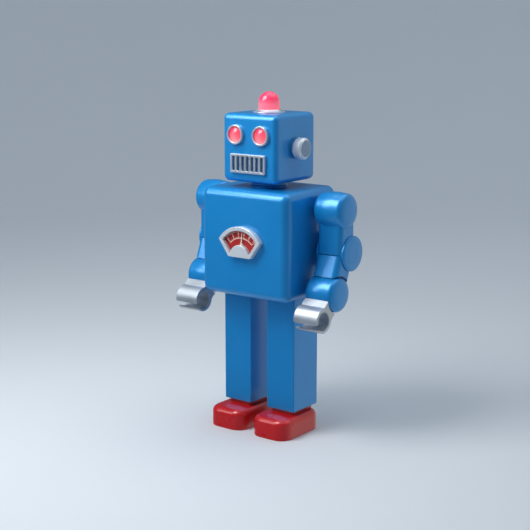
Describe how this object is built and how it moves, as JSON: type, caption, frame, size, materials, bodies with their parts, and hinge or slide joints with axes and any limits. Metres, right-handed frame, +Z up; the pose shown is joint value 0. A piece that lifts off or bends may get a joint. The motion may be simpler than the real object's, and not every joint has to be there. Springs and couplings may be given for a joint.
{
  "type": "tin wind-up robot",
  "caption": "Standing tin clockwork robot with box head, torso and legs, hinged arms with C-shaped claws, a chest dial and a winding key on its back.",
  "frame": {"origin": "on the floor, below the middle of the whole box with the key included: midway between the legs, 12.65 mm behind the axis that the head turns on", "axes": "+Z up; the robot faces -Y, so its left side is +X and its winding key points along +Y"},
  "size_m": [0.1234, 0.0917, 0.23],
  "materials": {
    "blue_tin": "high-gloss blue enamel on tinplate",
    "blue_moulding": "high-gloss blue moulding",
    "red_tin": "high-gloss red enamel on tinplate",
    "red_dial": "satin red lithographed tin",
    "cream_paint": "cream enamel",
    "pale_bezel": "satin silver",
    "chrome_trim": "bright plated",
    "silver_claw": "soft brushed silver",
    "key_steel": "nickel-plated steel",
    "steel": "plain steel",
    "brass": "plain brass",
    "red_lamp": "translucent red moulding, lit from within"
  },
  "bodies": {
    "torso": {"torso_shell": "blue_tin", "rear_cover": "blue_tin", "cover_screws": "steel", "neck_tube": "blue_tin", "neck_rivet": "steel", "gauge_bezel": "pale_bezel", "gauge_dial": "red_dial", "gauge_needle": "cream_paint", "shoulder_bushes": "brass", "motor_mid_plate": "steel", "motor_rear_plate": "steel", "motor_side_plates": "steel", "motor_pillars": "brass", "mainspring": "steel", "hip_rod": "steel"},
    "head": {"head_shell": "blue_tin", "head_base": "blue_tin", "beacon_collar": "chrome_trim", "beacon_dome": "red_lamp", "eye_bezels": "chrome_trim", "eye_lenses": "red_lamp", "mouth_grille": "chrome_trim", "ear_knobs": "chrome_trim"},
    "winding": {"winding_key": "key_steel", "winding_arbor": "steel", "ratchet_wheel": "brass"},
    "drive": {"great_wheel": "brass", "click_spring": "steel"},
    "crown": {"crown_wheel": "brass", "crown_pinion": "steel"},
    "crank": {"crankshaft": "steel", "governor_wheel": "brass", "cranks": "steel"},
    "governor": {"governor_pinion": "steel", "governor_fly": "brass"},
    "right_leg": {"right_leg": "blue_tin", "right_leg_lever": "steel", "right_foot": "red_tin"},
    "right_roller": {"right_toe_roller": "steel"},
    "right_arm": {"right_upper_arm": "blue_tin", "right_elbow_caps": "blue_tin", "right_elbow_pin": "steel", "right_shoulder_rod": "steel"},
    "right_forearm": {"right_forearm": "blue_moulding", "right_wrist_pin": "steel"},
    "right_hand": {"right_wrist_drum": "blue_tin", "right_claw": "silver_claw"},
    "left_leg": {"left_leg": "blue_tin", "left_leg_lever": "steel", "left_foot": "red_tin"},
    "left_roller": {"left_toe_roller": "steel"},
    "left_arm": {"left_upper_arm": "blue_tin", "left_elbow_caps": "blue_tin", "left_elbow_pin": "steel", "left_shoulder_rod": "steel"},
    "left_forearm": {"left_forearm": "blue_moulding", "left_wrist_pin": "steel"},
    "left_hand": {"left_wrist_drum": "blue_tin", "left_claw": "silver_claw"}
  },
  "joints": [
    {"name": "head_turn", "type": "hinge", "parent": "torso", "child": "head", "pos_m": [0, -0.01265, 0.1713], "axis": [0, 0, 1], "range_deg": [-60, 60]},
    {"name": "key_turn", "type": "hinge", "parent": "torso", "child": "winding", "pos_m": [0, 0.00735, 0.1463], "axis": [0, 1, 0], "continuous": true},
    {"name": "drive", "type": "hinge", "parent": "torso", "child": "drive", "pos_m": [0, 0.00205, 0.1463], "axis": [0, 1, 0], "continuous": true},
    {"name": "crown_spin", "type": "hinge", "parent": "torso", "child": "crown", "pos_m": [0, -0.00065, 0.126], "axis": [0, 1, 0], "continuous": true},
    {"name": "crank_spin", "type": "hinge", "parent": "torso", "child": "crank", "pos_m": [0, -0.01055, 0.126], "axis": [1, 0, 0], "continuous": true},
    {"name": "governor_spin", "type": "hinge", "parent": "torso", "child": "governor", "pos_m": [0, -0.02175, 0.126], "axis": [1, 0, 0], "continuous": true},
    {"name": "right_leg_swing", "type": "hinge", "parent": "torso", "child": "right_leg", "pos_m": [-0.02, -0.01055, 0.108], "axis": [1, 0, 0], "range_deg": [-5, 5]},
    {"name": "right_toe_spin", "type": "hinge", "parent": "right_leg", "child": "right_roller", "pos_m": [-0.0182, -0.02665, 0.0042], "axis": [1, 0, 0], "continuous": true},
    {"name": "right_arm_swing", "type": "hinge", "parent": "torso", "child": "right_arm", "pos_m": [-0.036, -0.00725, 0.1546], "axis": [1, 0, 0], "range_deg": [-10, 10]},
    {"name": "right_elbow", "type": "hinge", "parent": "right_arm", "child": "right_forearm", "pos_m": [-0.0503, -0.00235, 0.1261], "axis": [1, 0, 0], "range_deg": [0, 22]},
    {"name": "right_wrist", "type": "hinge", "parent": "right_forearm", "child": "right_hand", "pos_m": [-0.0503, -0.01635, 0.1005], "axis": [1, 0, 0], "range_deg": [-20, 20]},
    {"name": "left_leg_swing", "type": "hinge", "parent": "torso", "child": "left_leg", "pos_m": [0.02, -0.01055, 0.108], "axis": [1, 0, 0], "range_deg": [-5, 5]},
    {"name": "left_toe_spin", "type": "hinge", "parent": "left_leg", "child": "left_roller", "pos_m": [0.0182, -0.02665, 0.0042], "axis": [1, 0, 0], "continuous": true},
    {"name": "left_arm_swing", "type": "hinge", "parent": "torso", "child": "left_arm", "pos_m": [0.036, -0.00725, 0.1546], "axis": [1, 0, 0], "range_deg": [-10, 10]},
    {"name": "left_elbow", "type": "hinge", "parent": "left_arm", "child": "left_forearm", "pos_m": [0.0503, -0.00235, 0.1261], "axis": [1, 0, 0], "range_deg": [0, 22]},
    {"name": "left_wrist", "type": "hinge", "parent": "left_forearm", "child": "left_hand", "pos_m": [0.0503, -0.01635, 0.1005], "axis": [1, 0, 0], "range_deg": [-20, 20]}
  ],
  "couplings": [
    {"joint": "crown_spin", "follows": "drive", "ratio": -4.8},
    {"joint": "crank_spin", "follows": "drive", "ratio": 14.4},
    {"joint": "governor_spin", "follows": "drive", "ratio": -43.2},
    {"joint": "left_leg_swing", "follows": "right_leg_swing", "ratio": -1},
    {"joint": "right_arm_swing", "follows": "right_leg_swing", "ratio": -2},
    {"joint": "left_arm_swing", "follows": "right_leg_swing", "ratio": 2}
  ]
}
